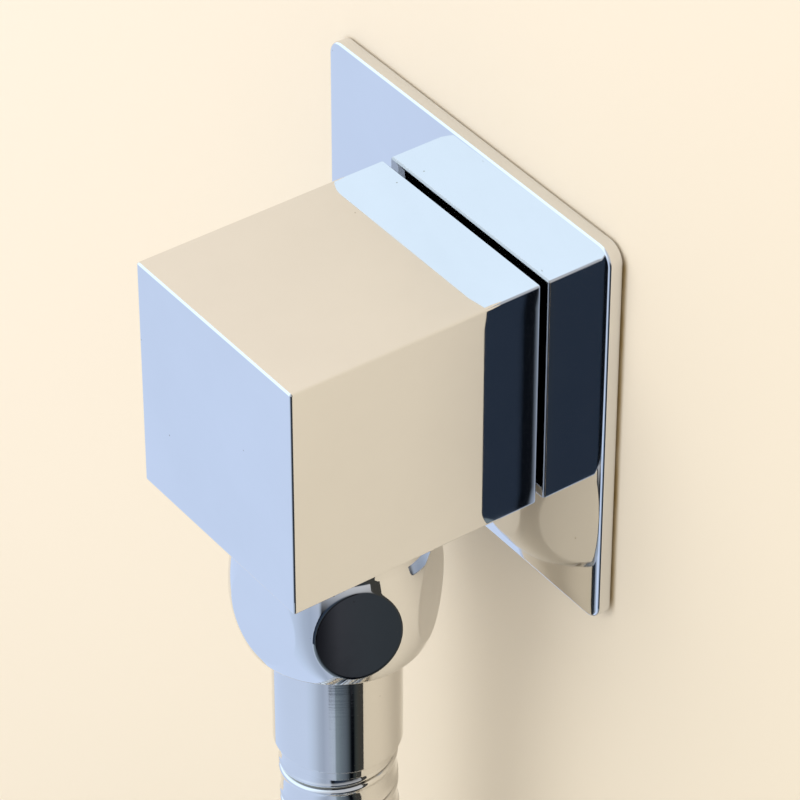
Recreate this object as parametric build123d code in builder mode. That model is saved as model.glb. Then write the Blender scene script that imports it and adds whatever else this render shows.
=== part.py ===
from build123d import *
from math import sin, cos, tan, radians, degrees, sqrt, acos, pi
import os

# Square wall-mounted angle stop valve with a quarter-turn L-port ball, its
# wall plate, and the metal-clad hose that screws onto its outlet.
# Frame: origin on the inlet axis at the wall surface, +Y into the wall,
# +Z up, X along the wall. Millimetres.

os.makedirs("parts", exist_ok=True)

# ---------------------------------------------------------------- driving dimensions
# block
block_w = 30.4            # along X
block_h = 31.5            # along Z
block_l = 34.35           # along Y
block_edge = 0.35         # edge radius
plate_side = 53.2
plate_t = 1.7
plate_corner = 2.2
wall_gap = 0.2            # the gasket stands this far proud of the plate
block_gap = 0.5           # between plate and block
y_plate_back = -wall_gap
y_plate_front = y_plate_back - plate_t
y_rear = y_plate_front - block_gap        # rear face of the block
y_front = y_rear - block_l
y_axis = -20.3            # outlet and ball axis
z_bottom = -block_h / 2
x_left = -block_w / 2

# threads, modelled at their outside radius
r_half = 10.48            # G 1/2 male
r_half_female = 10.55
r_inner_thread = 8.33     # G 3/8 in the rear of the block
inlet_reach = 14.5        # male thread length beyond the wall surface
inlet_thread_start = -0.1
r_inlet_neck = 10.3       # plain neck through the plate
nipple_bore = 5.0

# ball valve
ball_r = 7.5
port_r = 3.6
seat_bore = 3.8
chamber_r = 8.0
chamber_front = y_axis - 8.1
inlet_seat_rear = -12.1
inlet_seat_front = -14.6
outlet_seat_bottom = -9.4
outlet_seat_top = -5.7
outlet_seat_r = 5.6
seat_clear = 0.05
stem_r = 3.0
stem_clear = 0.05
collar_r = 4.2
gland_r = 5.5
slot_w = 1.2

# outlet and hose end, heights above the hose's exit from its ferrule
hose_d = 14.5
hose_r = hose_d / 2
z_exit = -54.5
ferrule_r = 7.95
ferrule_taper = 1.9
w_ferrule_top = 21.6
w_nut_bottom = 18.7
w_nut_wide = 26.6
w_nut_mouth = 38.1
nut_r = 12.9
nut_flat = 11.8           # axis to flat
nut_rho = 19.75           # barrel profile radius
collar_nut_r = 11.45
flat_azimuth = -22.4      # of the near nut's first flat, from +X
washer_t = 2.0
far_washer_t = 1.85
washer_r = 9.45
w_washer = 25.1
w_nut_thread = 27.0       # inner end of the nut's female thread
r_nut_relief = 9.75       # pocket for the washer and the stem's flange
z_outlet_end = z_exit + w_washer + washer_t

# hose route: two 25 degree turns lead it off the vertical into a round coil
run = 46.0
turn = 25.0
coil_r = 80.0             # middle of the turns
coil_y0 = -7.55           # first turn, beside the wall
coil_pitch = 14.7
coil_turns = 2
end_step = 7.5            # how far the last quarter turn stands out, to seat the end nut
join_angle = 2 * turn     # of the coil's start, from +X towards +Z

P0 = Vector(0, y_axis, z_exit)
P1 = P0 + Vector(0, 0, -run)
P2 = Vector(P1.X + run * sin(radians(turn)), coil_y0, P1.Z - run * cos(radians(turn)))
P3 = P2 + Vector(run * sin(radians(join_angle)), 0, -run * cos(radians(join_angle)))
coil_c = Vector(P3.X - coil_r * cos(radians(join_angle)), 0, P3.Z - coil_r * sin(radians(join_angle)))
y_end = coil_y0 - coil_pitch * coil_turns - end_step
end_dir = Vector(sin(radians(join_angle)), 0, -cos(radians(join_angle)))
near = Plane(origin=(0, y_axis, z_exit), x_dir=(1, 0, 0), z_dir=(0, 0, 1))
far = Plane(origin=(P3.X, y_end, P3.Z), x_dir=(0, -1, 0), z_dir=(end_dir.X, 0, end_dir.Z))


def save(builder, name):
    builder.part.label = name
    export_step(builder.part, "parts/" + name + ".step")


def profile(frame):
    # a half-section plane: local x is radial, local y runs along the axis
    return Plane(origin=frame.origin, x_dir=frame.x_dir, z_dir=-frame.y_dir)


def axis_of(frame):
    return Axis(frame.origin, frame.z_dir)


# ---------------------------------------------------------------- valve body
with BuildPart() as valve_body:
    with BuildSketch(Plane.XZ.offset(-y_rear)):
        Rectangle(block_w, block_h)
    extrude(amount=block_l)
    fillet(valve_body.edges(), block_edge)
    # inlet thread, then the ball chamber
    with BuildSketch(Plane.XZ.offset(-y_rear)):
        Circle(r_inner_thread)
    extrude(amount=y_rear - inlet_seat_rear, mode=Mode.SUBTRACT)
    with BuildSketch(Plane.XZ.offset(-inlet_seat_rear)):
        Circle(chamber_r)
    extrude(amount=inlet_seat_rear - chamber_front, mode=Mode.SUBTRACT)
    # o-ring recess round the inlet
    with BuildSketch(Plane.XZ.offset(-y_rear)):
        Circle(10.15)
        Circle(r_inner_thread - 0.2, mode=Mode.SUBTRACT)
    extrude(amount=1.2, mode=Mode.SUBTRACT)
    # outlet thread, seat recess and o-ring recess
    with BuildSketch(Plane.XY.offset(z_bottom)):
        with Locations((0, y_axis)):
            Circle(r_half)
    extrude(amount=outlet_seat_bottom - z_bottom, mode=Mode.SUBTRACT)
    with BuildSketch(Plane.XY.offset(outlet_seat_bottom)):
        with Locations((0, y_axis)):
            Circle(outlet_seat_r + 0.05)
    extrude(amount=-outlet_seat_bottom, mode=Mode.SUBTRACT)
    with BuildSketch(Plane.XY.offset(z_bottom)):
        with Locations((0, y_axis)):
            Circle(12.2)
            Circle(r_half - 0.2, mode=Mode.SUBTRACT)
    extrude(amount=1.2, mode=Mode.SUBTRACT)
    # spindle hole, o-ring seat and gland seat in the left side
    with BuildSketch(Plane.YZ.offset(x_left)):
        with Locations((y_axis, 0)):
            Circle(stem_r + stem_clear)
    extrude(amount=8.5, mode=Mode.SUBTRACT)
    with BuildSketch(Plane.YZ.offset(x_left)):
        with Locations((y_axis, 0)):
            Circle(4.6)
    extrude(amount=-10.9 - x_left, mode=Mode.SUBTRACT)
    with BuildSketch(Plane.YZ.offset(x_left)):
        with Locations((y_axis, 0)):
            Circle(gland_r)
    extrude(amount=-12.5 - x_left, mode=Mode.SUBTRACT)
    # recess for the spindle collar, cut from inside the chamber
    with BuildSketch(Plane.YZ.offset(-9.4)):
        with Locations((y_axis, 0)):
            Circle(collar_r + 0.2)
    extrude(amount=3.6, mode=Mode.SUBTRACT)
save(valve_body, "valve_body")

# ---------------------------------------------------------------- wall plate and gasket
with BuildPart() as wall_flange:
    with BuildSketch(Plane.XZ.offset(-y_plate_back)):
        RectangleRounded(plate_side, plate_side, plate_corner)
    extrude(amount=plate_t)
    fillet(wall_flange.faces().sort_by(Axis.Y)[0].edges(), 0.35)
    with BuildSketch(Plane.XZ.offset(-y_plate_back)):
        Circle(10.6)
    extrude(amount=plate_t, mode=Mode.SUBTRACT)
    with BuildSketch(Plane.XZ.offset(-y_plate_back)):
        Circle(22.0)
        Circle(12.2, mode=Mode.SUBTRACT)
    extrude(amount=0.7, mode=Mode.SUBTRACT)
save(wall_flange, "wall_flange")

with BuildPart() as flange_gasket:
    with BuildSketch(Plane.XZ):
        Circle(21.9)
        Circle(12.3, mode=Mode.SUBTRACT)
    extrude(amount=0.9)
save(flange_gasket, "flange_gasket")

# ---------------------------------------------------------------- inlet nipple, o-ring, strainer
with BuildPart() as inlet_nipple:
    with BuildSketch(Plane.XZ.offset(-inlet_reach)):
        Circle(r_half)
    extrude(amount=inlet_reach - inlet_thread_start)
    with BuildSketch(Plane.XZ.offset(-inlet_thread_start)):
        Circle(r_inlet_neck)
    extrude(amount=inlet_thread_start - y_rear)
    with BuildSketch(Plane.XZ.offset(-y_rear)):
        Circle(r_inner_thread)
    extrude(amount=y_rear - inlet_seat_rear)
    chamfer(inlet_nipple.faces().sort_by(Axis.Y)[-1].edges(), 0.8)
    with BuildSketch(Plane.XZ.offset(-inlet_reach)):
        Circle(7.6)
    extrude(amount=9.0, mode=Mode.SUBTRACT)
    with BuildSketch(Plane.XZ.offset(-inlet_reach)):
        Circle(nipple_bore)
    extrude(amount=inlet_reach - inlet_seat_rear, mode=Mode.SUBTRACT)
save(inlet_nipple, "inlet_nipple")

with BuildPart() as inlet_o_ring:
    with BuildSketch(Plane.XY):
        with Locations((9.24, y_rear - 0.6)):
            Circle(0.6)
    revolve(axis=Axis.Y)
save(inlet_o_ring, "inlet_o_ring")

with BuildPart() as inlet_strainer:
    with BuildSketch(Plane.XZ.offset(-13.6)):
        Circle(7.6)
    extrude(amount=8.1)
    with BuildSketch(Plane.XZ.offset(-13.6)):
        Circle(7.1)
    extrude(amount=7.5, mode=Mode.SUBTRACT)
    with BuildSketch(Plane.XZ.offset(-13.6)):
        with HexLocations(1.15, 5, 5):
            Circle(0.75)
    extrude(amount=9.0, mode=Mode.SUBTRACT)
save(inlet_strainer, "inlet_strainer")

# ---------------------------------------------------------------- ball and seats
with BuildPart() as ball:
    with Locations((0, y_axis, 0)):
        Sphere(ball_r)
        Sphere(port_r, mode=Mode.SUBTRACT)
    with BuildSketch(Plane.XZ.offset(-y_axis)):
        Circle(port_r)
    extrude(amount=-10, mode=Mode.SUBTRACT)
    with BuildSketch(Plane.XY):
        with Locations((0, y_axis)):
            Circle(port_r)
    extrude(amount=-10, mode=Mode.SUBTRACT)
    # driving slot across the left pole
    with BuildSketch(Plane.YZ.offset(-5.5)):
        with Locations((y_axis, 0)):
            Rectangle(2.5, 18)
    extrude(amount=-4, mode=Mode.SUBTRACT)
save(ball, "ball")

with BuildPart() as inlet_seat:
    with BuildSketch(Plane.XZ.offset(-inlet_seat_rear)):
        Circle(chamber_r - 0.05)
        Circle(seat_bore, mode=Mode.SUBTRACT)
    extrude(amount=inlet_seat_rear - inlet_seat_front)
    with Locations((0, y_axis, 0)):
        Sphere(ball_r + seat_clear, mode=Mode.SUBTRACT)
save(inlet_seat, "inlet_seat")

with BuildPart() as outlet_seat:
    with BuildSketch(Plane.XY.offset(outlet_seat_bottom)):
        with Locations((0, y_axis)):
            Circle(outlet_seat_r)
            Circle(seat_bore, mode=Mode.SUBTRACT)
    extrude(amount=outlet_seat_top - outlet_seat_bottom)
    with Locations((0, y_axis, 0)):
        Sphere(ball_r + seat_clear, mode=Mode.SUBTRACT)
save(outlet_seat, "outlet_seat")

# ---------------------------------------------------------------- spindle and its packing
with BuildPart() as spindle:
    with BuildSketch(Plane.YZ.offset(-7.9)):
        with Locations((y_axis, 0)):
            Circle(collar_r)
    extrude(amount=-1.1)
    with BuildSketch(Plane.YZ.offset(-9.0)):
        with Locations((y_axis, 0)):
            Circle(stem_r)
    extrude(amount=-6.0)
    chamfer(spindle.faces().sort_by(Axis.X)[0].edges(), 0.3)
    # tang that drives the ball
    with BuildSketch(Plane.YZ.offset(-7.9)):
        with Locations((y_axis, 0)):
            Rectangle(2.4, 6.0)
    extrude(amount=2.3)
    # screwdriver slot
    with BuildSketch(Plane.YZ.offset(-15.0)):
        with Locations((y_axis, 0)):
            Rectangle(8, slot_w)
    extrude(amount=1.6, mode=Mode.SUBTRACT)
save(spindle, "spindle")

with BuildPart() as thrust_washer:
    with BuildSketch(Plane.YZ.offset(-9.02)):
        with Locations((y_axis, 0)):
            Circle(collar_r)
            Circle(stem_r + 0.06, mode=Mode.SUBTRACT)
    extrude(amount=-0.38)
save(thrust_washer, "thrust_washer")

with BuildPart() as spindle_o_ring:
    with BuildSketch(Plane.XY):
        with Locations((-11.7, y_axis + 3.8)):
            Circle(0.76)
    revolve(axis=Axis((0, y_axis, 0), (1, 0, 0)))
save(spindle_o_ring, "spindle_o_ring")

with BuildPart() as spindle_gland:
    with BuildSketch(Plane.YZ.offset(-12.5)):
        with Locations((y_axis, 0)):
            Circle(gland_r)
            Circle(stem_r + 0.06, mode=Mode.SUBTRACT)
    extrude(amount=-2.5)
    # two spanner notches
    with BuildSketch(Plane.YZ.offset(-15.0)):
        with Locations((y_axis - 4.9, 0), (y_axis + 4.9, 0)):
            Rectangle(1.6, 1.4)
    extrude(amount=1.0, mode=Mode.SUBTRACT)
save(spindle_gland, "spindle_gland")

# ---------------------------------------------------------------- outlet nipple
with BuildPart() as outlet_nipple:
    with BuildSketch(Plane.XY.offset(z_outlet_end)):
        with Locations((0, y_axis)):
            Circle(r_half)
    extrude(amount=outlet_seat_bottom - z_outlet_end)
    chamfer(outlet_nipple.faces().sort_by(Axis.Z)[0].edges(), 0.7)
    with BuildSketch(Plane.XY.offset(z_outlet_end)):
        with Locations((0, y_axis)):
            Circle(5.5)
    extrude(amount=outlet_seat_bottom - z_outlet_end, mode=Mode.SUBTRACT)
    with BuildSketch(Plane.XY.offset(z_outlet_end)):
        with Locations((0, y_axis)):
            RegularPolygon(6.0, 6, major_radius=False)
    extrude(amount=7.0, mode=Mode.SUBTRACT)
save(outlet_nipple, "outlet_nipple")

with BuildPart() as outlet_o_ring:
    with BuildSketch(Plane.XZ.offset(-y_axis)):
        with Locations((11.34, z_bottom + 0.6)):
            Circle(0.6)
    revolve(axis=Axis((0, y_axis, 0), (0, 0, 1)))
save(outlet_o_ring, "outlet_o_ring")


# ---------------------------------------------------------------- hose ends
def make_washer(frame, thickness, name):
    with BuildPart() as washer:
        with BuildSketch(profile(frame)):
            with Locations(((5.5 + washer_r) / 2, w_washer + thickness / 2)):
                RectangleRounded(washer_r - 5.5, thickness, 0.25)
        revolve(axis=axis_of(frame))
    save(washer, name)
    return washer


def make_nut(frame, rotation, name):
    r_low = nut_r - nut_rho + sqrt(nut_rho ** 2 - (w_nut_wide - w_nut_bottom) ** 2)
    dz_top = sqrt(nut_rho ** 2 - (collar_nut_r - nut_r + nut_rho) ** 2)
    with BuildPart() as nut:
        with BuildSketch(profile(frame)):
            with BuildLine():
                Polyline((collar_nut_r, w_nut_wide + dz_top), (collar_nut_r, w_nut_mouth - 0.4),
                         (collar_nut_r - 0.4, w_nut_mouth), (r_half_female + 0.25, w_nut_mouth),
                         (r_half_female, w_nut_mouth - 0.25), (r_half_female, w_nut_thread),
                         (r_nut_relief, w_nut_thread), (r_nut_relief, 23.56), (8.15, 21.87),
                         (8.15, w_nut_bottom + 0.3), (8.45, w_nut_bottom), (r_low, w_nut_bottom))
                ThreePointArc((r_low, w_nut_bottom), (nut_r, w_nut_wide), (collar_nut_r, w_nut_wide + dz_top))
            make_face()
        revolve(axis=axis_of(frame))
        # six flats
        with BuildSketch(frame):
            RegularPolygon(nut_flat, 6, major_radius=False, rotation=rotation)
        extrude(amount=60, mode=Mode.INTERSECT)
    save(nut, name)
    return nut


def make_stem(frame, name):
    with BuildPart() as stem:
        with BuildSketch(profile(frame)):
            with BuildLine():
                Polyline((3.6, w_washer), (9.55, w_washer), (9.55, 23.5), (7.8, 21.65), (5.4, 21.65),
                         (5.4, 21.0), (4.8, 21.0), (4.8, 4.0), (4.2, 3.0), (3.6, 3.0), close=True)
            make_face()
        revolve(axis=axis_of(frame))
    save(stem, name)
    return stem


def make_liner(frame, name):
    # the end of the rubber inner tube, gripped between stem and ferrule
    with BuildPart() as liner:
        with BuildSketch(profile(frame)):
            with BuildLine():
                Polyline((4.8, 21.0), (hose_r, 21.0), (hose_r, 0), (4.2, 0), (4.2, 3.0), (4.8, 4.0), close=True)
            make_face()
        revolve(axis=axis_of(frame))
    save(liner, name)
    return liner


def make_ferrule(frame, name):
    with BuildPart() as ferrule:
        with BuildSketch(profile(frame)):
            with BuildLine():
                Polyline((hose_r + 0.12, 0), (ferrule_r, ferrule_taper), (ferrule_r, w_ferrule_top - 0.3),
                         (ferrule_r - 0.3, w_ferrule_top), (5.4, w_ferrule_top), (5.4, 21.0),
                         (hose_r, 21.0), (hose_r, 0), close=True)
            make_face()
        revolve(axis=axis_of(frame))
    save(ferrule, name)
    return ferrule


make_washer(near, washer_t, "hose_washer")
make_nut(near, flat_azimuth - 30, "hose_nut")
make_stem(near, "hose_stem")
make_liner(near, "hose_liner")
make_ferrule(near, "hose_ferrule")
make_washer(far, far_washer_t, "far_washer")
make_nut(far, 0, "far_nut")
make_stem(far, "far_stem")
make_liner(far, "far_liner")
make_ferrule(far, "far_ferrule")

# ---------------------------------------------------------------- hose, uncoiled stretch
route = [P0, P1, P2, P3]
radii = []
for a, b, c in zip(route, route[1:], route[2:]):
    half = 0.5 * acos(max(-1.0, min(1.0, (b - a).normalized().dot((c - b).normalized()))))
    radii.append(0.45 * min((b - a).length, (c - b).length) / tan(half))
with BuildPart() as hose_tube:
    with BuildLine() as hose_path:
        FilletPolyline(*route, radius=radii)
    with BuildSketch(Plane(origin=P0, x_dir=(1, 0, 0), z_dir=(0, 0, -1))):
        Circle(hose_r)
    sweep(path=hose_path.line)
save(hose_tube, "hose_tube")
tube_length = sum(e.length for e in hose_path.edges())
coil_length = coil_turns * sqrt((2 * pi * coil_r) ** 2 + coil_pitch ** 2)
print("route radii", [round(r, 1) for r in radii], "in hose diameters", [round(r / hose_d, 2) for r in radii])
print("tube length %.1f volume %.0f section x length %.0f" % (tube_length, hose_tube.part.volume, pi * hose_r ** 2 * tube_length))
print("coil length %.1f, hose length %.1f" % (coil_length, tube_length + coil_length))
print("coil centre", coil_c, "join", P3, "far frame", far.origin, far.z_dir)

# ---------------------------------------------------------------- hose, coiled
# two turns side by side along Y; each twelfth of a turn stands a little further out
steps = 12
with BuildPart() as hose_coil:
    for k in range(steps):
        f = (k + 0.5) / steps
        phi = radians(join_angle - 360.0 * k / steps)
        y_first = coil_y0 - coil_pitch * f + hose_r - (0.7 if k >= steps - 2 else 0.0)
        y_last = coil_y0 - coil_pitch * (1 + f) - hose_r - end_step * max(0.0, (f - 0.75) / 0.25)
        with BuildSketch(Plane(origin=coil_c, x_dir=(cos(phi), 0, sin(phi)), z_dir=(-sin(phi), 0, cos(phi)))):
            with Locations((coil_r, (y_first + y_last) / 2)):
                Rectangle(hose_d, y_first - y_last)
        revolve(axis=Axis(coil_c, (0, 1, 0)), revolution_arc=360.0 / steps)
save(hose_coil, "hose_coil")

# the tie round both turns, half a turn from the join
phi_tie = radians(join_angle - 180)
y_tie = coil_y0 - coil_pitch
tie_w = 16.0
with BuildPart() as coil_tie:
    with BuildSketch(Plane(origin=coil_c, x_dir=(cos(phi_tie), 0, sin(phi_tie)),
                           z_dir=(-sin(phi_tie), 0, cos(phi_tie))).offset(-tie_w / 2)):
        with Locations((coil_r, y_tie)):
            RectangleRounded(hose_d + 3.8, coil_pitch + hose_d + 4.6, 1.5)
            RectangleRounded(hose_d + 1.0, coil_pitch + hose_d + 1.8, 0.3, mode=Mode.SUBTRACT)
    extrude(amount=tie_w)
save(coil_tie, "coil_tie")
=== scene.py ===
import math
from math import sin, cos, pi, radians, sqrt

import bmesh
import bpy
import numpy as np
from mathutils import Matrix, Vector


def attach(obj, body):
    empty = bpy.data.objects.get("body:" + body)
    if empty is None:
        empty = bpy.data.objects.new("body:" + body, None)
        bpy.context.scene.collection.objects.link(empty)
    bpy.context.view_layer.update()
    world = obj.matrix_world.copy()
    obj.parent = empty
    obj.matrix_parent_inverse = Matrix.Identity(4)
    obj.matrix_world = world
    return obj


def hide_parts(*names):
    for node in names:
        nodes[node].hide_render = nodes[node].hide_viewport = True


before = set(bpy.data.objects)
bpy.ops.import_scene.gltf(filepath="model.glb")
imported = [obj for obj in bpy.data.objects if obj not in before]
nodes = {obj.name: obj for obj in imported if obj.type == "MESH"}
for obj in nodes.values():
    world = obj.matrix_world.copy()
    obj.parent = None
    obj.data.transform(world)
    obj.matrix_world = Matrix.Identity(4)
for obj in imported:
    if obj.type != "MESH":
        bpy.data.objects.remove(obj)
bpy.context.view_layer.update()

scene = bpy.context.scene
MM = 0.001

# ------------------------------------------------------------------ camera
cam_az, cam_el = radians(54.065), radians(37.921)
cam_back = Vector((sin(cam_az) * cos(cam_el), -cos(cam_az) * cos(cam_el), sin(cam_el)))
cam_right = Vector((cos(cam_az), sin(cam_az), 0))
cam_up = cam_back.cross(cam_right)
cam_data = bpy.data.cameras.new("camera")
cam_data.sensor_width = 36.0
cam_data.lens = 203.456
cam_data.clip_start = 0.02
cam_data.clip_end = 40.0
camera = bpy.data.objects.new("camera", cam_data)
scene.collection.objects.link(camera)
cam_at = Vector((0, -0.02045, 0)) + cam_back * 0.51742 + cam_right * 0.007671 + cam_up * -0.001487
cam_rot = Matrix((cam_right, cam_up, cam_back)).transposed().to_4x4()
camera.matrix_world = Matrix.Translation(cam_at) @ cam_rot
scene.camera = camera
scene.view_settings.view_transform = "Standard"

# ------------------------------------------------------------------ shared numbers, mm
Y_AXIS = -20.3
Z_EXIT = -54.5
HOSE_D = 14.5
HOSE_R = HOSE_D / 2
PITCH = 5.1                # of the hose's metal strip
FAR_O = Vector((54.6785, -44.45, -171.758))
END_DIR = Vector((sin(radians(50)), 0, -cos(radians(50))))


def new_object(name, verts, faces, body="root", smooth=True, sharp=None):
    mesh = bpy.data.meshes.new(name)
    mesh.from_pydata([tuple(v) for v in verts], [], [tuple(f) for f in faces])
    mesh.validate()
    mesh.update()
    obj = bpy.data.objects.new(name, mesh)
    scene.collection.objects.link(obj)
    if smooth:
        mesh.polygons.foreach_set("use_smooth", [True] * len(mesh.polygons))
        if sharp:
            mesh.set_sharp_from_angle(angle=radians(sharp))
    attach(obj, body)
    return obj


# ------------------------------------------------------------------ hose route
COIL_C = (3.25548, -233.042)
COIL_RC = 80.0 / 0.9665


def coil_y(t):
    return -7.55 - 14.7 * t


route = [(0, Y_AXIS, -54.5), (0, Y_AXIS, -100.5), (19.4404, -7.55, -142.190)]
for k in range(24):
    phi = radians(35 - 30 * k)
    t = (15 + 30 * k) / 360.0
    y = coil_y(t)
    if k == 21:
        y = -35.4
    if k == 22:
        y = -40.4
    if k == 23:
        y = -44.45
    route.append((COIL_C[0] + COIL_RC * cos(phi), y, COIL_C[1] + COIL_RC * sin(phi)))
route.append((FAR_O.x, FAR_O.y, FAR_O.z))

curve = bpy.data.curves.new("hose_route", "CURVE")
curve.dimensions = "3D"
curve.resolution_u = 24
spline = curve.splines.new("NURBS")
spline.points.add(len(route) - 1)
for p, co in zip(spline.points, route):
    p.co = (co[0] * MM, co[1] * MM, co[2] * MM, 1.0)
spline.order_u = 3
spline.use_endpoint_u = True
curve_obj = bpy.data.objects.new("hose_route", curve)
scene.collection.objects.link(curve_obj)
bpy.context.view_layer.update()
line_mesh = bpy.data.meshes.new_from_object(curve_obj)
line = [v.co.copy() for v in line_mesh.vertices]
bpy.data.objects.remove(curve_obj)
line_pts = np.array([tuple(p) for p in line]) / MM
seg = np.linalg.norm(np.diff(line_pts, axis=0), axis=1)
keep = np.concatenate([[True], seg > 1e-6])
line_pts = line_pts[keep]
arc = np.concatenate([[0], np.cumsum(np.linalg.norm(np.diff(line_pts, axis=0), axis=1))])
hose_length = float(arc[-1])
print("hose length", round(hose_length, 1))

# frames carried along the line without twist
tang = np.gradient(line_pts, arc, axis=0)
tang[0] = (0, 0, -1)
tang[-1] = (END_DIR.x, END_DIR.y, END_DIR.z)
tang /= np.linalg.norm(tang, axis=1)[:, None]
face_cam = np.array([cam_back.x, cam_back.y, 0.0])
face_cam /= np.linalg.norm(face_cam)
nrm = np.zeros_like(tang)
nrm[0] = face_cam
for i in range(1, len(tang)):
    v = nrm[i - 1] - tang[i] * np.dot(nrm[i - 1], tang[i])
    nrm[i] = v / np.linalg.norm(v)
binrm = np.cross(tang, nrm)      # to the camera's left at the start, where the tangent points down


def at_arc(s):
    """centre, normal and binormal at arc lengths s (array), in mm"""
    s = np.clip(s, 0, hose_length)
    out = []
    for table in (line_pts, nrm, binrm):
        out.append(np.stack([np.interp(s, arc, table[:, k]) for k in range(3)], axis=-1))
    for k in (1, 2):
        out[k] /= np.linalg.norm(out[k], axis=-1, keepdims=True)
    return out


# one pitch of the interlocked strip: distance from the groove's middle, radius
STRIP = [(0.00, 6.74), (0.10, 6.77), (0.18, 6.94), (0.27, 7.12), (0.42, 7.25), (0.62, 7.32), (0.84, 7.26),
         (1.04, 7.17), (1.40, 7.13), (2.10, 7.13), (3.00, 7.13), (3.95, 7.13), (4.15, 7.18), (4.35, 7.26),
         (4.52, 7.32), (4.68, 7.26), (4.80, 7.12), (4.88, 6.94), (4.97, 6.77)]
NS = len(STRIP)
NT = 56
# the groove that faces the camera lies 56.05 mm below the origin, 1.55 mm down the hose
s_face = 1.55
turns_n = int(hose_length / PITCH) + 3
rows = turns_n * NS
k_row = np.arange(rows + 1)
s_row = (k_row // NS) * PITCH + np.array([STRIP[j][0] for j in k_row % NS]) + s_face - 2 * PITCH
r_row = np.array([STRIP[j][1] for j in k_row % NS])
cols = np.arange(NT)
# the groove climbs to the camera's right: going left (towards the binormal) it runs further down the hose
S = s_row[:, None] + PITCH * cols[None, :] / NT
ang = 2 * pi * cols / NT
R = np.repeat(r_row[:, None], NT, axis=1)
inside = (S > 0) & (S < hose_length)
R = np.where(inside, R, 7.1)
c, n, b = at_arc(S)
X = c + R[..., None] * (n * np.cos(ang)[None, :, None] + b * np.sin(ang)[None, :, None])
verts = (X.reshape(-1, 3) * MM)
faces = []
for k in range(rows):
    if S[k].max() < -PITCH or S[k].min() > hose_length + PITCH:
        continue
    base = k * NT
    for j in range(NT - 1):
        faces.append((base + j, base + j + 1, base + NT + j + 1, base + NT + j))
    # last column joins the first column one pitch further down
    if k + NS + 1 <= rows:
        faces.append((base + NT - 1, (k + NS) * NT, (k + NS + 1) * NT, base + 2 * NT - 1))
hose_mesh = bpy.data.meshes.new("hose_cover")
hose_mesh.from_pydata(verts.tolist(), [], faces)
# groove depth per point, read by the hose material to paint dirt and shade into the seam
depth = hose_mesh.attributes.new("groove", "FLOAT", "POINT")
depth.data.foreach_set("value", np.clip((7.10 - R) / 0.30, 0.0, 1.0).reshape(-1).astype(np.float32))
bm = bmesh.new()
bm.from_mesh(hose_mesh)
end_verts = [v for v, s in zip(bm.verts, S.reshape(-1)) if s <= 0.02 or s >= hose_length - 0.02]
bmesh.ops.remove_doubles(bm, verts=end_verts, dist=2e-6)
bmesh.ops.dissolve_degenerate(bm, dist=1e-7, edges=list(bm.edges)[:0] or bm.edges)
loose = [v for v in bm.verts if not v.link_faces]
bmesh.ops.delete(bm, geom=loose, context="VERTS")
open_edges = [e for e in bm.edges if e.is_boundary]
bmesh.ops.holes_fill(bm, edges=open_edges, sides=0)
bmesh.ops.recalc_face_normals(bm, faces=bm.faces)
bm.to_mesh(hose_mesh)
bm.free()
hose_mesh.polygons.foreach_set("use_smooth", [True] * len(hose_mesh.polygons))
hose_mesh.set_sharp_from_angle(angle=radians(50))
hose = bpy.data.objects.new("hose_cover", hose_mesh)
scene.collection.objects.link(hose)
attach(hose, "root")
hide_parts("hose_tube", "hose_coil")


# ------------------------------------------------------------------ turned and milled pieces
def round_profile(pts):
    """pts: (r, w, corner radius, segments); corners become arcs"""
    out = []
    n_pts = len(pts)
    for i, (r, w, rad, segs) in enumerate(pts):
        p = Vector((r, w))
        if rad <= 0:
            out.append((p.x, p.y))
            continue
        a = Vector(pts[i - 1][:2]) - p
        c2 = Vector(pts[(i + 1) % n_pts][:2]) - p
        la, lc = a.length, c2.length
        a.normalize()
        c2.normalize()
        half = 0.5 * math.acos(max(-1.0, min(1.0, a.dot(c2))))
        cut = min(rad / math.tan(half), 0.45 * la, 0.45 * lc)
        rr = cut * math.tan(half)
        centre = p + (a + c2).normalized() * (rr / sin(half))
        v0 = (p + a * cut) - centre
        v1 = (p + c2 * cut) - centre
        total = v0.angle(v1)
        sign = 1.0 if v0.x * v1.y - v0.y * v1.x > 0 else -1.0
        for k in range(segs + 1):
            th = sign * total * k / segs
            q = centre + Vector((v0.x * cos(th) - v0.y * sin(th), v0.x * sin(th) + v0.y * cos(th)))
            out.append((q.x, q.y))
    return out


def tighten(prof, near=0.03):
    """extra rows close to the ends of long straight runs, so their shading stays flat"""
    out = []
    for i, (r, w) in enumerate(prof):
        r2, w2 = prof[(i + 1) % len(prof)]
        out.append((r, w))
        d = math.hypot(r2 - r, w2 - w)
        if d > 0.5:
            for f in (near / d, 1 - near / d):
                out.append((r + (r2 - r) * f, w + (w2 - w) * f))
    return out


def place(points, origin, zdir, xdir):
    """(x, y, w) local points in mm to the row frame in metres"""
    z = Vector(zdir).normalized()
    x = Vector(xdir)
    x = (x - z * x.dot(z)).normalized()
    y = z.cross(x)
    m = np.array([tuple(x), tuple(y), tuple(z)])
    return (np.asarray(points) @ m + np.array(tuple(origin))) * MM


def ring_grid(radius_rows, w_rows, n_cols):
    """closed loop of profile rows turned round the axis; radius_rows is (rows, cols)"""
    rows_n = len(w_rows)
    th = 2 * pi * np.arange(n_cols) / n_cols
    pts = np.zeros((rows_n, n_cols, 3))
    pts[..., 0] = radius_rows * np.cos(th)
    pts[..., 1] = radius_rows * np.sin(th)
    pts[..., 2] = np.asarray(w_rows)[:, None] if np.ndim(w_rows) == 1 else w_rows
    quads = []
    for i in range(rows_n):
        i2 = (i + 1) % rows_n
        for j in range(n_cols):
            j2 = (j + 1) % n_cols
            quads.append((i * n_cols + j, i * n_cols + j2, i2 * n_cols + j2, i2 * n_cols + j))
    return pts.reshape(-1, 3), quads


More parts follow.
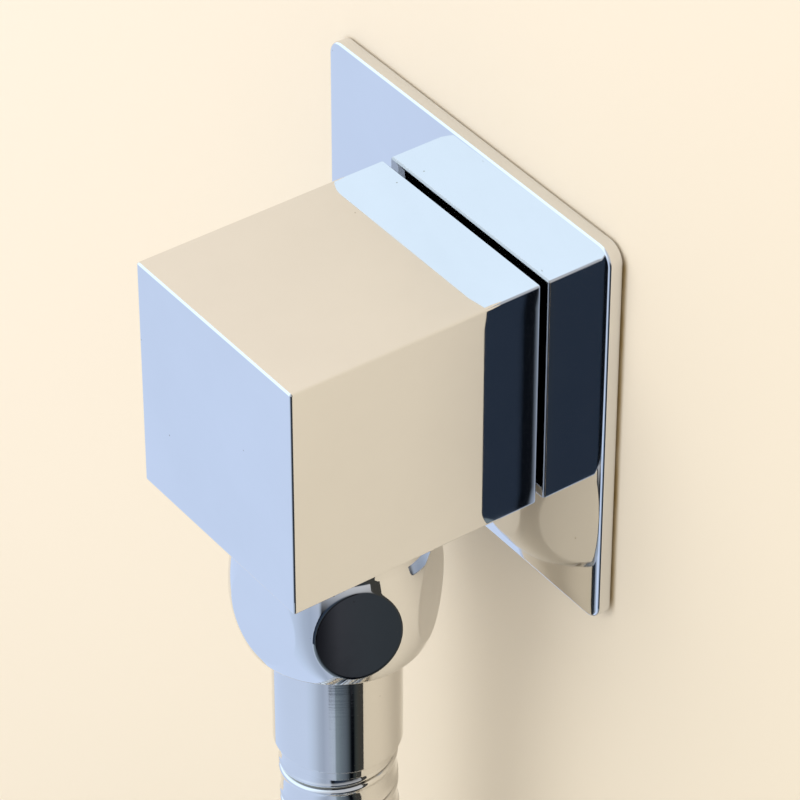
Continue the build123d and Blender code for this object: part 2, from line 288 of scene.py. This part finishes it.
def fix_normals(obj):
    m = bmesh.new()
    m.from_mesh(obj.data)
    bmesh.ops.recalc_face_normals(m, faces=m.faces)
    m.to_mesh(obj.data)
    m.free()


def lathe(name, profile, origin, zdir, xdir, body, n_cols=160, sharp=30):
    prof = tighten(round_profile(profile))
    r = np.array([p[0] for p in prof])[:, None] * np.ones((1, n_cols))
    pts, quads = ring_grid(r, [p[1] for p in prof], n_cols)
    obj = new_object(name, place(pts, origin, zdir, xdir), quads, body, True, None)
    fix_normals(obj)
    obj.data.polygons.foreach_set("use_smooth", [True] * len(obj.data.polygons))
    obj.data.set_sharp_from_angle(angle=radians(sharp))
    return obj


NUT_R, NUT_RHO, NUT_WIDE, NUT_FLAT, COLLAR = 12.9, 19.75, 26.6, 11.8, 11.45
TOP_W = NUT_WIDE + sqrt(NUT_RHO ** 2 - (COLLAR - NUT_R + NUT_RHO) ** 2)


def make_nut(name, origin, zdir, xdir, rotation, body, node, thread):
    n_cols = 432
    th = 2 * pi * np.arange(n_cols) / n_cols
    off = (np.degrees(th) - rotation + 30.0) % 60.0 - 30.0
    crown = (NUT_FLAT * np.tan(np.radians(off))) ** 2 / 396.0      # polished flats are very slightly crowned
    flat = (NUT_FLAT - crown) / np.cos(np.radians(off))
    rows_r, rows_w = [], []

    def add(r, w):
        rows_r.append(np.full(n_cols, float(r)))
        rows_w.append(np.full(n_cols, float(w)))

    def barrel(w):
        return NUT_R - NUT_RHO + sqrt(NUT_RHO ** 2 - (w - NUT_WIDE) ** 2)

    r_low = barrel(18.7)
    add(8.15, 19.05)
    add(8.22, 18.87)
    add(8.45, 18.72)
    add(8.8, 18.70)
    add(r_low - 0.9, 18.70)
    for k in range(7):
        a = k / 6 * pi / 2
        add(r_low - 0.42 + 0.42 * sin(a) + (barrel(19.12) - r_low) * (k / 6), 18.70 + 0.42 * (1 - cos(a)))
    w_list = list(np.arange(19.25, TOP_W, 0.11))
    for w in w_list:
        rb = np.full(n_cols, barrel(w))
        k_soft = 0.05
        h = np.clip(0.5 + 0.5 * (rb - flat) / k_soft, 0, 1)
        r = rb * (1 - h) + flat * h - k_soft * h * (1 - h)
        rows_r.append(r)
        rows_w.append(np.full(n_cols, w))
    add(COLLAR, TOP_W + 0.02)
    add(COLLAR, TOP_W + 0.3)
    add(COLLAR, 37.45)
    add(COLLAR - 0.04, 37.68)
    add(COLLAR - 0.18, 37.92)
    add(COLLAR - 0.42, 38.08)
    add(COLLAR - 0.5, 38.10)
    add(10.92, 38.10)
    add(10.82, 38.06)
    add(10.55, 37.80)
    if thread:
        # G 1/2: 14 threads to the inch, its crests at the bore's radius
        p = 25.4 / 14
        for w in np.arange(37.6, 27.2, -0.13):
            ph = ((w + p * th / (2 * pi)) % p) / p
            tri = np.abs(ph * 2 - 1)
            fade = min(1.0, max(0.0, (37.7 - w) / 0.5), max(0.0, (w - 27.1) / 0.9))
            rows_r.append(10.55 + 0.62 * fade * np.clip((tri - 0.18) / 0.64, 0, 1))
            rows_w.append(np.full(n_cols, w))
    add(10.55, 27.12)
    add(10.5, 27.0)
    add(9.80, 27.0)
    add(9.75, 26.9)
    add(9.75, 23.56)
    add(8.15, 21.87)
    pts, quads = ring_grid(np.array(rows_r), np.array(rows_w), n_cols)
    obj = new_object(name, place(pts, origin, zdir, xdir), quads, body)
    fix_normals(obj)
    obj.data.polygons.foreach_set("use_smooth", [True] * len(obj.data.polygons))
    obj.data.set_sharp_from_angle(angle=radians(32))
    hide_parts(node)
    return obj


near_o = Vector((0, Y_AXIS, Z_EXIT))
nut_near = make_nut("nut_near", near_o, (0, 0, 1), (1, 0, 0), -22.4, "hose_nut", "hose_nut", False)
nut_far = make_nut("nut_far", FAR_O, END_DIR, (0, -1, 0), -30, "far_nut", "far_nut", True)

FERRULE = [(7.20, 0.0, 0.05, 2), (7.31, 0.16, 0.1, 3), (7.33, 1.52, 0.04, 2), (7.95, 1.58, 0.42, 8), (7.95, 4.0, 0, 1), (7.95, 21.6, 0.35, 5), (5.4, 21.6, 0, 1),
           (5.4, 21.0, 0, 1), (7.26, 21.0, 0, 1), (7.26, 0.0, 0, 1)]
ferrule_near = lathe("ferrule_near", FERRULE, near_o, (0, 0, 1), (1, 0, 0), "root")
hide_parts("hose_ferrule")
ferrule_far = lathe("ferrule_far", FERRULE, FAR_O, END_DIR, (0, -1, 0), "root")
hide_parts("far_ferrule")

# ------------------------------------------------------------------ tie round the coil
phi_tie = radians(-130)
tie_c = Vector((COIL_C[0] + 80.0 * cos(phi_tie), -22.25, COIL_C[1] + 80.0 * sin(phi_tie)))
tie_u = Vector((cos(phi_tie), 0, sin(phi_tie)))       # outward from the coil's middle
tie_t = Vector((-sin(phi_tie), 0, cos(phi_tie)))      # along the hose


def strap(name, half_u, half_v, corner, thick, width, lap):
    """a woven strap wound round a rounded-rectangle section, its end lapped over"""
    path = []
    n_c = 14
    corners = [(half_u - corner, half_v - corner, 0), (-(half_u - corner), half_v - corner, 90),
               (-(half_u - corner), -(half_v - corner), 180), (half_u - corner, -(half_v - corner), 270)]
    for cx, cy, a0 in corners:
        for k in range(n_c + 1):
            a = radians(a0 + 90.0 * k / n_c)
            path.append((cx + corner * cos(a), cy + corner * sin(a), cos(a), sin(a)))
    # finer steps on the straights
    dense = []
    for i in range(len(path)):
        a, b2 = path[i], path[(i + 1) % len(path)]
        steps_n = max(1, int(math.hypot(b2[0] - a[0], b2[1] - a[1]) / 1.2))
        for k in range(steps_n):
            f = k / steps_n
            nx, ny = a[2] * (1 - f) + b2[2] * f, a[3] * (1 - f) + b2[3] * f
            ln = math.hypot(nx, ny)
            dense.append((a[0] * (1 - f) + b2[0] * f, a[1] * (1 - f) + b2[1] * f, nx / ln, ny / ln))
    n_d = len(dense)
    start = n_d // 8
    total = n_d + lap
    sect = []
    for k in range(13):
        x = -width / 2 + width * k / 12
        edge = min(1.0, (width / 2 - abs(x)) / 0.9)
        sect.append((x, thick * (0.72 + 0.28 * sqrt(max(0.0, edge)))))
    verts_s, faces_s = [], []
    for i in range(total):
        px, py, nx, ny = dense[(start + i) % n_d]
        over = max(0.0, min(1.0, (i - n_d + 6) / 6.0))
        lift = over * (thick + 0.08)
        bulge = 0.10 * sin(i * 0.9) * 0.3
        for x, h in sect:
            verts_s.append((px + nx * (lift + h + bulge), py + ny * (lift + h + bulge), x))
        for x, h in reversed(sect):
            verts_s.append((px + nx * (lift + bulge), py + ny * (lift + bulge), x))
    m = len(sect) * 2
    for i in range(total - 1):
        for k in range(m):
            k2 = (k + 1) % m
            faces_s.append((i * m + k, i * m + k2, (i + 1) * m + k2, (i + 1) * m + k))
    faces_s.append(tuple(range(m))[::-1])
    faces_s.append(tuple((total - 1) * m + k for k in range(m)))
    world = []
    for a, b2, x in verts_s:
        p = tie_c + tie_u * a + Vector((0, 1, 0)) * b2 + tie_t * x
        world.append(p * MM)
    obj = new_object(name, world, faces_s, "root")
    fix_normals(obj)
    obj.data.polygons.foreach_set("use_smooth", [True] * len(obj.data.polygons))
    obj.data.set_sharp_from_angle(angle=radians(40))
    return obj


tie = strap("tie_strap", 7.95, 15.3, 5.6, 1.25, 16.0, 16)
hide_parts("coil_tie")

path_pts = line_pts[::2] * MM
if not np.allclose(path_pts[-1], line_pts[-1] * MM):
    path_pts = np.vstack([path_pts, line_pts[-1] * MM])


# ------------------------------------------------------------------ materials
def mat_new(name):
    m = bpy.data.materials.new(name)
    m.use_nodes = True
    nt = m.node_tree
    for nd in list(nt.nodes):
        nt.nodes.remove(nd)
    out = nt.nodes.new("ShaderNodeOutputMaterial")
    bsdf = nt.nodes.new("ShaderNodeBsdfPrincipled")
    nt.links.new(bsdf.outputs[0], out.inputs[0])
    return m, nt, bsdf


def nd(nt, kind, **vals):
    n_ = nt.nodes.new(kind)
    for k, v in vals.items():
        if k.startswith("in_"):
            n_.inputs[k[3:].replace("_", " ")].default_value = v
        else:
            setattr(n_, k, v)
    return n_


def coords(nt, scale):
    tc = nt.nodes.new("ShaderNodeTexCoord")
    mp = nt.nodes.new("ShaderNodeMapping")
    mp.inputs["Scale"].default_value = scale if hasattr(scale, "__len__") else (scale, scale, scale)
    nt.links.new(tc.outputs["Object"], mp.inputs["Vector"])
    return mp.outputs["Vector"]


def noise(nt, scale, detail=3.0, rough=0.5, distortion=0.0, mapping=1.0):
    n_ = nt.nodes.new("ShaderNodeTexNoise")
    n_.inputs["Scale"].default_value = scale
    n_.inputs["Detail"].default_value = detail
    n_.inputs["Roughness"].default_value = rough
    n_.inputs["Distortion"].default_value = distortion
    nt.links.new(coords(nt, mapping), n_.inputs["Vector"])
    return n_.outputs["Fac"]


def ramp(nt, fac, stops, interp="LINEAR"):
    r_ = nt.nodes.new("ShaderNodeValToRGB")
    r_.color_ramp.interpolation = interp
    el = r_.color_ramp.elements
    el[0].position, el[0].color = stops[0][0], (*stops[0][1], 1)
    el[1].position, el[1].color = stops[-1][0], (*stops[-1][1], 1)
    for pos, col in stops[1:-1]:
        e = el.new(pos)
        e.color = (*col, 1)
    nt.links.new(fac, r_.inputs["Fac"])
    return r_.outputs["Color"]


def maprange(nt, fac, a, b2, c2, d2, smooth=False):
    m_ = nt.nodes.new("ShaderNodeMapRange")
    if smooth:
        m_.interpolation_type = "SMOOTHSTEP"
    m_.inputs["From Min"].default_value = a
    m_.inputs["From Max"].default_value = b2
    m_.inputs["To Min"].default_value = c2
    m_.inputs["To Max"].default_value = d2
    nt.links.new(fac, m_.inputs["Value"])
    return m_.outputs["Result"]


def bump(nt, height, strength, distance, normal=None):
    b_ = nt.nodes.new("ShaderNodeBump")
    b_.inputs["Strength"].default_value = strength
    b_.inputs["Distance"].default_value = distance
    nt.links.new(height, b_.inputs["Height"])
    if normal is not None:
        nt.links.new(normal, b_.inputs["Normal"])
    return b_.outputs["Normal"]


def math_node(nt, op, a, b2=None, clamp=False):
    m_ = nt.nodes.new("ShaderNodeMath")
    m_.operation = op
    m_.use_clamp = clamp
    for i, v in enumerate((a, b2)):
        if v is None:
            continue
        if hasattr(v, "links"):
            nt.links.new(v, m_.inputs[i])
        else:
            m_.inputs[i].default_value = v
    return m_.outputs[0]


def roll_off(nt, spans):
    """how far a buffed face falls away towards its edges; spans: (axis, middle, half size, width, weight)"""
    tc_ = nt.nodes.new("ShaderNodeTexCoord")
    sp_ = nt.nodes.new("ShaderNodeSeparateXYZ")
    nt.links.new(tc_.outputs["Object"], sp_.inputs[0])
    total = None
    for axis, mid, half, width, weight in spans:
        d_ = math_node(nt, "ABSOLUTE", math_node(nt, "SUBTRACT", sp_.outputs[axis], mid))
        t_ = maprange(nt, d_, half - width, half, 0.0, 1.0)
        t_ = math_node(nt, "MULTIPLY", math_node(nt, "POWER", t_, 2.0), weight)
        total = t_ if total is None else math_node(nt, "ADD", total, t_)
    return math_node(nt, "SUBTRACT", 1.0, total)


def chrome(name, base, rough_lo, rough_hi, wave, specks=True, roll=None, groove=False, worn=False):
    m, nt, b_ = mat_new(name)
    b_.inputs["Metallic"].default_value = 1.0
    light = tuple(base)
    dim = tuple(c_ * 0.965 for c_ in base)
    cloud = noise(nt, 55.0, 4.0, 0.6)
    col = ramp(nt, cloud, [(0.30, dim), (0.70, light)])
    if specks:
        v = nt.nodes.new("ShaderNodeTexVoronoi")
        v.inputs["Scale"].default_value = 420.0
        nt.links.new(coords(nt, 1.0), v.inputs["Vector"])
        dots = maprange(nt, v.outputs["Distance"], 0.035, 0.06, 1.0, 0.0, True)
        pick = maprange(nt, noise(nt, 160.0, 1.0), 0.52 if worn else 0.60, 0.58 if worn else 0.66, 0.0, 1.0, True)
        mask = math_node(nt, "MULTIPLY", dots, pick)
        mix = nt.nodes.new("ShaderNodeMix")
        mix.data_type = "RGBA"
        nt.links.new(mask, mix.inputs["Factor"])
        nt.links.new(col, mix.inputs[6])
        mix.inputs[7].default_value = (0.45, 0.42, 0.36, 1)
        col = mix.outputs[2]
    if groove:
        # the seam between two turns of the strip: dirt and painted shade, darker the deeper the groove
        at_ = nt.nodes.new("ShaderNodeAttribute")
        at_.attribute_name = "groove"
        seam_dirt_and_shade = nt.nodes.new("ShaderNodeMix")
        seam_dirt_and_shade.data_type = "RGBA"
        nt.links.new(at_.outputs["Fac"], seam_dirt_and_shade.inputs["Factor"])
        nt.links.new(col, seam_dirt_and_shade.inputs[6])
        seam_dirt_and_shade.inputs[7].default_value = (0.15, 0.14, 0.105, 1)
        col = seam_dirt_and_shade.outputs[2]
    nt.links.new(col, b_.inputs["Base Color"])
    rg = maprange(nt, noise(nt, 130.0, 5.0, 0.65), 0.35, 0.75, rough_lo, rough_hi)
    nt.links.new(rg, b_.inputs["Roughness"])
    n1 = bump(nt, noise(nt, 38.0, 1.0, 0.4), wave, 0.001)
    if worn:
        n1 = bump(nt, noise(nt, 1.0, 4.0, 0.6, 0.0, (60, 60, 2600)), 0.07, 0.00002, n1)
    if roll:
        n1 = bump(nt, roll_off(nt, roll[1]), 1.0, roll[0], n1)
    nt.links.new(n1, b_.inputs["Normal"])
    return m


def metal(name, base, dim, rough_lo, rough_hi, axis_scale=(400, 400, 400), strength=0.15):
    """turned or sheet metal with fine tool marks"""
    m, nt, b_ = mat_new(name)
    b_.inputs["Metallic"].default_value = 1.0
    col = ramp(nt, noise(nt, 140.0, 4.0, 0.6), [(0.3, dim), (0.7, base)])
    nt.links.new(col, b_.inputs["Base Color"])
    nt.links.new(maprange(nt, noise(nt, 600.0, 4.0), 0.3, 0.7, rough_lo, rough_hi), b_.inputs["Roughness"])
    nt.links.new(bump(nt, noise(nt, 1.0, 3.0, 0.5, 0.0, axis_scale), strength, 0.00004), b_.inputs["Normal"])
    return m


def soft_plastic(name, base, dim, rough_lo, rough_hi, grain, strength=0.2, spec=0.4):
    m, nt, b_ = mat_new(name)
    b_.inputs["Specular IOR Level"].default_value = spec
    col = ramp(nt, noise(nt, grain * 0.4, 4.0, 0.6), [(0.3, dim), (0.7, base)])
    nt.links.new(col, b_.inputs["Base Color"])
    nt.links.new(maprange(nt, noise(nt, grain, 3.0), 0.3, 0.7, rough_lo, rough_hi), b_.inputs["Roughness"])
    nt.links.new(bump(nt, noise(nt, grain * 2, 3.0), strength, 0.00006), b_.inputs["Normal"])
    return m


CH = (0.775, 0.77, 0.76)
m_block = chrome("chrome_block", CH, 0.02, 0.05, 0.006, True, (0.00027, [
    ("X", 0.0, 0.0152, 0.0028, 0.13), ("Y", -0.0224, 0.0200, 0.0045, 1.0), ("Z", 0.0, 0.01575, 0.0028, 0.13)]))
m_plate = chrome("chrome_plate", CH, 0.03, 0.06, 0.008, True, (0.00009, [
    ("X", 0.0, 0.0266, 0.0015, 1.0), ("Z", 0.0, 0.0266, 0.0020, 0.33)]))
m_nut = chrome("chrome_nut", CH, 0.02, 0.06, 0.015)
m_ferrule = chrome("chrome_ferrule", (0.74, 0.725, 0.70), 0.03, 0.08, 0.03, worn=True)
m_hose = chrome("hose_steel", (0.74, 0.725, 0.70), 0.05, 0.12, 0.02, groove=True)
m_ball = chrome("chrome_ball", CH, 0.03, 0.06, 0.004, False)
m_brass = metal("brass", (0.80, 0.63, 0.33), (0.70, 0.53, 0.26), 0.20, 0.34, (900, 30, 900))
m_nickel = metal("brass_nickel", (0.77, 0.74, 0.66), (0.66, 0.62, 0.53), 0.16, 0.28, (500, 500, 500))
m_strainer = metal("strainer_steel", (0.66, 0.66, 0.64), (0.52, 0.52, 0.50), 0.25, 0.40, (900, 900, 900))
m_seat = soft_plastic("seat_plastic", (0.90, 0.90, 0.87), (0.82, 0.82, 0.78), 0.38, 0.52, 900)
m_rubber = soft_plastic("rubber_black", (0.035, 0.035, 0.037), (0.018, 0.018, 0.02), 0.50, 0.72, 1400)
m_liner = soft_plastic("liner_rubber", (0.11, 0.11, 0.11), (0.07, 0.07, 0.07), 0.5, 0.7, 1200)
m_gasket = soft_plastic("gasket_foam", (0.60, 0.55, 0.46), (0.42, 0.38, 0.31), 0.75, 0.92, 1800, 0.8)


def woven(name):
    m, nt, b_ = mat_new(name)
    w1 = nt.nodes.new("ShaderNodeTexWave")
    w1.bands_direction = "Y"
    w1.inputs["Scale"].default_value = 420.0
    w2 = nt.nodes.new("ShaderNodeTexWave")
    w2.bands_direction = "DIAGONAL"
    w2.inputs["Scale"].default_value = 300.0
    vec = coords(nt, 1.0)
    nt.links.new(vec, w1.inputs["Vector"])
    nt.links.new(vec, w2.inputs["Vector"])
    both = math_node(nt, "MULTIPLY", w1.outputs["Fac"], w2.outputs["Fac"])
    col = ramp(nt, both, [(0.05, (0.018, 0.018, 0.02)), (0.8, (0.075, 0.075, 0.08))])
    nt.links.new(col, b_.inputs["Base Color"])
    nt.links.new(maprange(nt, both, 0, 1, 0.92, 0.72), b_.inputs["Roughness"])
    nt.links.new(bump(nt, both, 0.7, 0.00015), b_.inputs["Normal"])
    b_.inputs["Sheen Weight"].default_value = 0.3
    return m


m_tie = woven("tie_fabric")

table = {
    "valve_body": m_block, "wall_flange": m_plate, "flange_gasket": m_gasket, "inlet_nipple": m_brass,
    "inlet_o_ring": m_rubber, "inlet_strainer": m_strainer, "inlet_seat": m_seat, "outlet_seat": m_seat,
    "thrust_washer": m_seat, "spindle_o_ring": m_rubber, "spindle_gland": m_nickel, "outlet_nipple": m_brass,
    "outlet_o_ring": m_rubber, "hose_washer": m_rubber, "hose_nut": m_nut, "hose_stem": m_brass,
    "hose_liner": m_liner, "hose_ferrule": m_ferrule, "hose_tube": m_hose, "hose_coil": m_hose,
    "coil_tie": m_tie, "far_ferrule": m_ferrule, "far_liner": m_liner, "far_stem": m_brass,
    "far_washer": m_rubber, "far_nut": m_nut, "ball": m_ball, "spindle": m_nickel}
for name, mat in table.items():
    o = nodes[name]
    if not o.material_slots:
        o.data.materials.append(mat)
    for s_ in o.material_slots:
        s_.material = mat
for o, mat in ((hose, m_hose), (nut_near, m_nut), (nut_far, m_nut), (ferrule_near, m_ferrule),
               (ferrule_far, m_ferrule), (tie, m_tie)):
    o.data.materials.append(mat)

# ------------------------------------------------------------------ stage: a cream wall with painted light, seen from its front only
wall_mesh = bpy.data.meshes.new("stage_wall")
WS = 2.2
BACK = 0.00015
HOLE = 0.025               # left open behind the plate, as the pipe's hole is
wall_mesh.from_pydata([(x * s_, BACK, z * s_) for s_ in (WS, HOLE) for x, z in ((-1, -1), (1, -1), (1, 1), (-1, 1))], [],
                      [(0, 1, 5, 4), (1, 2, 6, 5), (2, 3, 7, 6), (3, 0, 4, 7)])
wall = bpy.data.objects.new("stage_wall", wall_mesh)
scene.collection.objects.link(wall)
wm, nt, b_ = mat_new("stage_wall")
b_.inputs["Roughness"].default_value = 0.6
b_.inputs["Specular IOR Level"].default_value = 0.15
wtc = nt.nodes.new("ShaderNodeTexCoord")
wsp = nt.nodes.new("ShaderNodeSeparateXYZ")
nt.links.new(wtc.outputs["Object"], wsp.inputs[0])
# painted light: the wall is coloured lighter towards the upper left and darker towards the lower right, as the lamps
# fall on it, with a little random tone on top
wall_light_fac = math_node(nt, "SUBTRACT", math_node(nt, "MULTIPLY", wsp.outputs["Z"], 3.6), math_node(nt, "MULTIPLY", wsp.outputs["X"], 3.4))
wall_light_fac = math_node(nt, "ADD", math_node(nt, "ADD", wall_light_fac, 0.42), math_node(nt, "MULTIPLY", noise(nt, 9.0, 3.0), 0.16), True)
wall_painted_light = ramp(nt, wall_light_fac, [(0.0, (0.81, 0.732, 0.588)), (1.0, (0.905, 0.823, 0.707))])
# painted shadow: a thin dark brown line on the wall along the plate's right-hand edge, fading out near its corners,
# stands in for the contact shadow where the plate meets the wall
line = maprange(nt, wsp.outputs["X"], 0.0265, 0.0274, 1.0, 0.0, True)
line = math_node(nt, "MULTIPLY", line, maprange(nt, wsp.outputs["X"], 0.0250, 0.0256, 0.0, 1.0))
line = math_node(nt, "MULTIPLY", line, maprange(nt, math_node(nt, "ABSOLUTE", wsp.outputs["Z"]), 0.0235, 0.0262, 1.0, 0.0, True))
line = math_node(nt, "MULTIPLY", line, maprange(nt, noise(nt, 160.0, 2.0), 0.3, 0.7, 0.75, 1.0))
contact_shadow_mix = nt.nodes.new("ShaderNodeMix")
contact_shadow_mix.data_type = "RGBA"
nt.links.new(line, contact_shadow_mix.inputs["Factor"])
nt.links.new(wall_painted_light, contact_shadow_mix.inputs[6])
contact_shadow_mix.inputs[7].default_value = (0.36, 0.24, 0.085, 1)
nt.links.new(contact_shadow_mix.outputs[2], b_.inputs["Base Color"])
geo = nt.nodes.new("ShaderNodeNewGeometry")
tr = nt.nodes.new("ShaderNodeBsdfTransparent")
mx = nt.nodes.new("ShaderNodeMixShader")
out = [n_ for n_ in nt.nodes if n_.type == "OUTPUT_MATERIAL"][0]
wlp = nt.nodes.new("ShaderNodeLightPath")
nt.links.new(math_node(nt, "MAXIMUM", geo.outputs["Backfacing"], wlp.outputs["Is Shadow Ray"]), mx.inputs[0])
nt.links.new(b_.outputs[0], mx.inputs[1])
nt.links.new(tr.outputs[0], mx.inputs[2])
nt.links.new(mx.outputs[0], out.inputs[0])
wall_mesh.materials.append(wm)

# painted reflection: a dark glowing card past the wall's right-hand end, seen by the polished faces alone
card_mesh = bpy.data.meshes.new("stage_card")
card_mesh.from_pydata([(0.119, -0.001, -2.0), (2.4, -0.001, -2.0), (2.4, -0.001, 1.2), (0.119, -0.001, 1.2)], [], [(0, 1, 2, 3)])
card = bpy.data.objects.new("stage_card", card_mesh)
scene.collection.objects.link(card)
cm, nt, b_ = mat_new("stage_card")
em = nt.nodes.new("ShaderNodeEmission")
em.inputs["Color"].default_value = (0.055, 0.054, 0.049, 1)
tr2 = nt.nodes.new("ShaderNodeBsdfTransparent")
mx2 = nt.nodes.new("ShaderNodeMixShader")
ge2 = nt.nodes.new("ShaderNodeNewGeometry")
nt.links.new(ge2.outputs["Backfacing"], mx2.inputs[0])
nt.links.new(em.outputs[0], mx2.inputs[1])
nt.links.new(tr2.outputs[0], mx2.inputs[2])
nt.links.new(mx2.outputs[0], [n_ for n_ in nt.nodes if n_.type == "OUTPUT_MATERIAL"][0].inputs[0])
card_mesh.materials.append(cm)
card.visible_camera = False
card.visible_diffuse = False
card.visible_shadow = False
card.visible_transmission = False

# ------------------------------------------------------------------ lights
def area(name, at, look, size, power, color, glossy=False):
    d = bpy.data.lights.new(name, "AREA")
    d.shape = "DISK"
    d.size = size
    d.energy = power
    d.color = color
    o = bpy.data.objects.new(name, d)
    scene.collection.objects.link(o)
    at, look = Vector(at), Vector(look)
    o.matrix_world = Matrix.Translation(at) @ (look - at).to_track_quat("-Z", "Y").to_matrix().to_4x4()
    o.visible_glossy = glossy
    return o


area("key", (-0.42, -1.30, 0.42), (0, 0, -0.03), 0.9, 3.1, (1.0, 0.985, 0.96))
area("fill", (-0.8, -1.5, 1.15), (-0.1, 0, 0.08), 2.4, 11.6, (1.0, 0.985, 0.96))
area("rear", (-0.6, 1.4, 0.8), (0, 0, -0.1), 1.2, 14.0, (1.0, 0.99, 0.97))

# ------------------------------------------------------------------ world: a plain studio, as the polished faces see it
world = bpy.data.worlds.new("studio")
scene.world = world
world.use_nodes = True
nt = world.node_tree
for n_ in list(nt.nodes):
    nt.nodes.remove(n_)
wo = nt.nodes.new("ShaderNodeOutputWorld")
bg = nt.nodes.new("ShaderNodeBackground")
nt.links.new(bg.outputs[0], wo.inputs[0])
tc = nt.nodes.new("ShaderNodeTexCoord")
sp = nt.nodes.new("ShaderNodeSeparateXYZ")
nt.links.new(tc.outputs["Generated"], sp.inputs[0])
h = math_node(nt, "ARCTAN2", sp.outputs["Y"], sp.outputs["X"])
hf = maprange(nt, h, -pi, pi, 0.0, 1.0)


def env(stops):
    return ramp(nt, hf, [((a + 180.0) / 360.0, c_) for a, c_ in stops])


K = (1.10, 1.108, 1.145)


def lit(stops):
    return [(a, tuple(c_ * k_ for c_, k_ in zip(col, K))) for a, col in stops]


ROOM = lit([(-180, (0.62, 0.745, 0.975)), (-92, (0.63, 0.755, 0.985)), (-83, (0.585, 0.71, 0.913)), (-75, (0.523, 0.627, 0.80)),
             (-67.5, (0.43, 0.515, 0.655)), (-60.5, (0.385, 0.46, 0.59)), (-53, (0.44, 0.515, 0.655)), (-46, (0.47, 0.555, 0.68)),
             (-40.5, (0.455, 0.54, 0.66))])
PAST = [(2, (0.060, 0.060, 0.056)), (10, (0.063, 0.062, 0.056)), (16, (0.50, 0.465, 0.41)), (60, (0.82, 0.80, 0.755)), (179, (0.77, 0.80, 0.87))]
low = env(ROOM + [(-38.3, (0.25, 0.32, 0.38)), (-35.5, (0.235, 0.30, 0.355)), (-30.7, (0.185, 0.235, 0.285)),
                   (-21, (0.12, 0.15, 0.19)), (-15, (0.055, 0.070, 0.085)), (-12.4, (0.009, 0.012, 0.016)), (-11.4, (0.002, 0.003, 0.005)),
                   (-6.4, (0.002, 0.003, 0.005)), (-5.2, (0.034, 0.041, 0.043)), (-2, (0.045, 0.052, 0.049))] + PAST)
near_low = env(ROOM[:-2] + [(-50.9, (0.44, 0.53, 0.68)), (-50.2, (0.006, 0.008, 0.012)), (-44.2, (0.004, 0.006, 0.010)), (-43.2, (0.027, 0.042, 0.073)),
                       (-28, (0.029, 0.044, 0.074)), (-20, (0.045, 0.055, 0.066)), (-16.2, (0.040, 0.045, 0.050)), (-15.8, (0.002, 0.002, 0.004)),
                       (-12.9, (0.002, 0.002, 0.004)), (-12.4, (0.030, 0.032, 0.040)), (-11.9, (0.047, 0.049, 0.060)), (-9, (0.042, 0.050, 0.060)),
                       (-6, (0.036, 0.044, 0.053))] + PAST)
high = env(lit([(-180, (1.07, 1.29, 1.50)), (-100, (1.07, 1.29, 1.50)), (-75, (0.78, 0.88, 1.00)), (-50, (0.55, 0.59, 0.65)),
                (-20, (0.58, 0.60, 0.63)), (10, (0.66, 0.66, 0.66)), (60, (0.80, 0.79, 0.77)), (179, (0.90, 0.95, 1.0))]))
zmix = maprange(nt, sp.outputs["Z"], -0.32, 0.12, 0.0, 1.0, True)
mixe = nt.nodes.new("ShaderNodeMix")
mixe.data_type = "RGBA"
nt.links.new(zmix, mixe.inputs["Factor"])
zlow = maprange(nt, sp.outputs["Z"], -0.6640, -0.6615, 0.0, 1.0)
mixl = nt.nodes.new("ShaderNodeMix")
mixl.data_type = "RGBA"
nt.links.new(zlow, mixl.inputs["Factor"])
nt.links.new(low, mixl.inputs[6])
nt.links.new(near_low, mixl.inputs[7])
nt.links.new(mixl.outputs[2], mixe.inputs[6])
nt.links.new(high, mixe.inputs[7])
lp = nt.nodes.new("ShaderNodeLightPath")
mixg = nt.nodes.new("ShaderNodeMix")
mixg.data_type = "RGBA"
nt.links.new(lp.outputs["Is Glossy Ray"], mixg.inputs["Factor"])
mixg.inputs[6].default_value = (0.90, 0.865, 0.82, 1)
nt.links.new(mixe.outputs[2], mixg.inputs[7])
nt.links.new(mixg.outputs[2], bg.inputs["Color"])
bg.inputs["Strength"].default_value = 1.0
if hasattr(world, "cycles"):
    world.cycles.sampling_method = "NONE"

bpy.context.view_layer.update()
